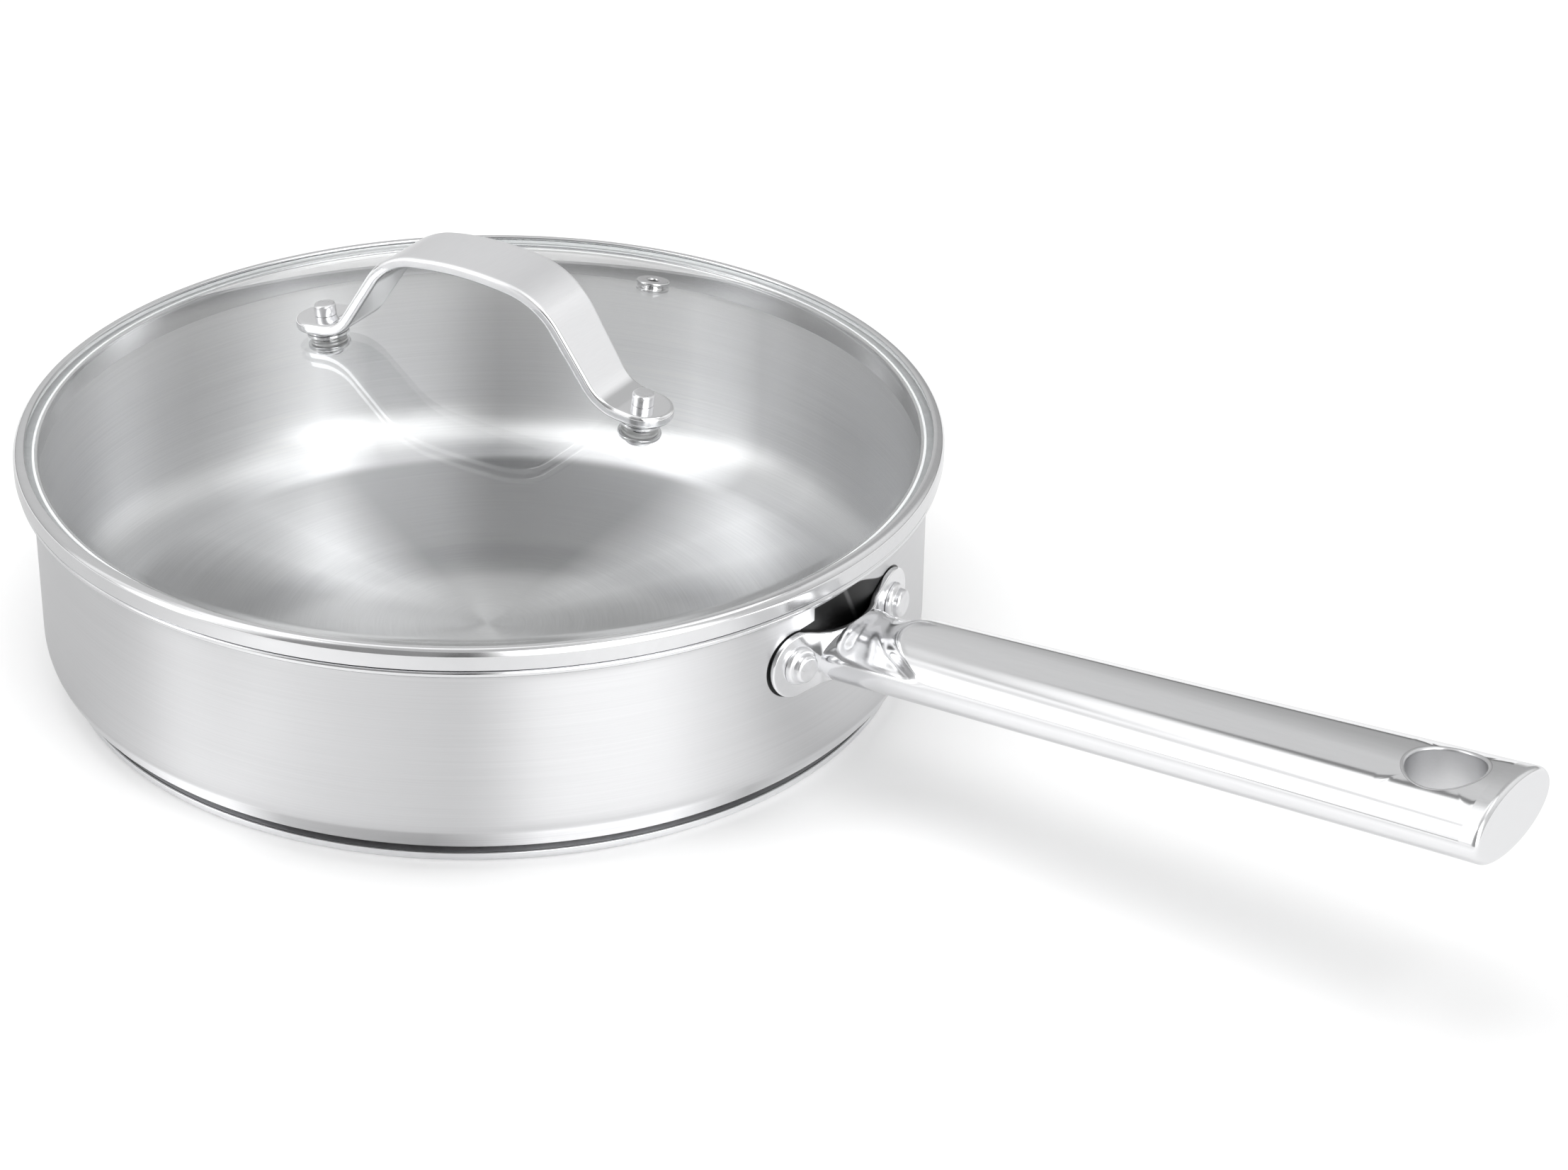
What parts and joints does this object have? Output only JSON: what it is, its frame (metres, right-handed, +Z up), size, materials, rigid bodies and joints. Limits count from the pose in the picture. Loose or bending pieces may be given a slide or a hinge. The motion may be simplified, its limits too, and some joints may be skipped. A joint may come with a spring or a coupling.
{
  "type": "saute pan with lid",
  "caption": "Steel saute pan with straight sides, a long hollow riveted handle with a hanging eye, and a domed glass lid with a strap handle.",
  "frame": {"origin": "centre of the base's underside, where the pan stands", "axes": "+Z up, +X along the long handle, +Y to the left of the handle seen from the pan"},
  "size_m": [0.4408, 0.254, 0.1184],
  "materials": {
    "shell_steel": "satin stainless steel, brushed round the wall and in circles on the floor",
    "base_steel": "magnetic stainless steel with fine circular brushing",
    "core_aluminium": "plain rolled disc, sealed in the base",
    "polished_steel": "mirror-polished stainless steel",
    "eye_steel": "plain drawn stainless sleeve",
    "ring_steel": "bright rolled stainless strip",
    "clear_glass": "clear tempered glass",
    "sealant": "clear-white silicone",
    "satin_steel": "satin stainless strap with polished legs",
    "washer_steel": "bright turned washer",
    "gasket_rubber": "dark matte silicone rubber"
  },
  "bodies": {
    "pan": {"base_cap": "base_steel", "base_core": "core_aluminium", "pan_shell": "shell_steel", "handle_saddle": "polished_steel", "handle_tube": "polished_steel", "handle_end_cap": "polished_steel", "hanging_eye": "eye_steel", "handle_rivets": "polished_steel"},
    "lid": {"lid_ring": "ring_steel", "lid_glass": "clear_glass", "glass_bedding": "sealant", "vent_eyelet": "polished_steel", "vent_washer": "washer_steel", "lid_strap": "satin_steel", "strap_posts": "polished_steel", "outer_gaskets": "gasket_rubber", "outer_washers": "washer_steel", "inner_gaskets": "gasket_rubber", "inner_washers": "washer_steel", "strap_screws": "polished_steel"}
  },
  "joints": [
    {"name": "lid_lift", "type": "slide", "parent": "pan", "child": "lid", "axis": [0, 0, 1], "range_m": [0, 0.12]}
  ]
}
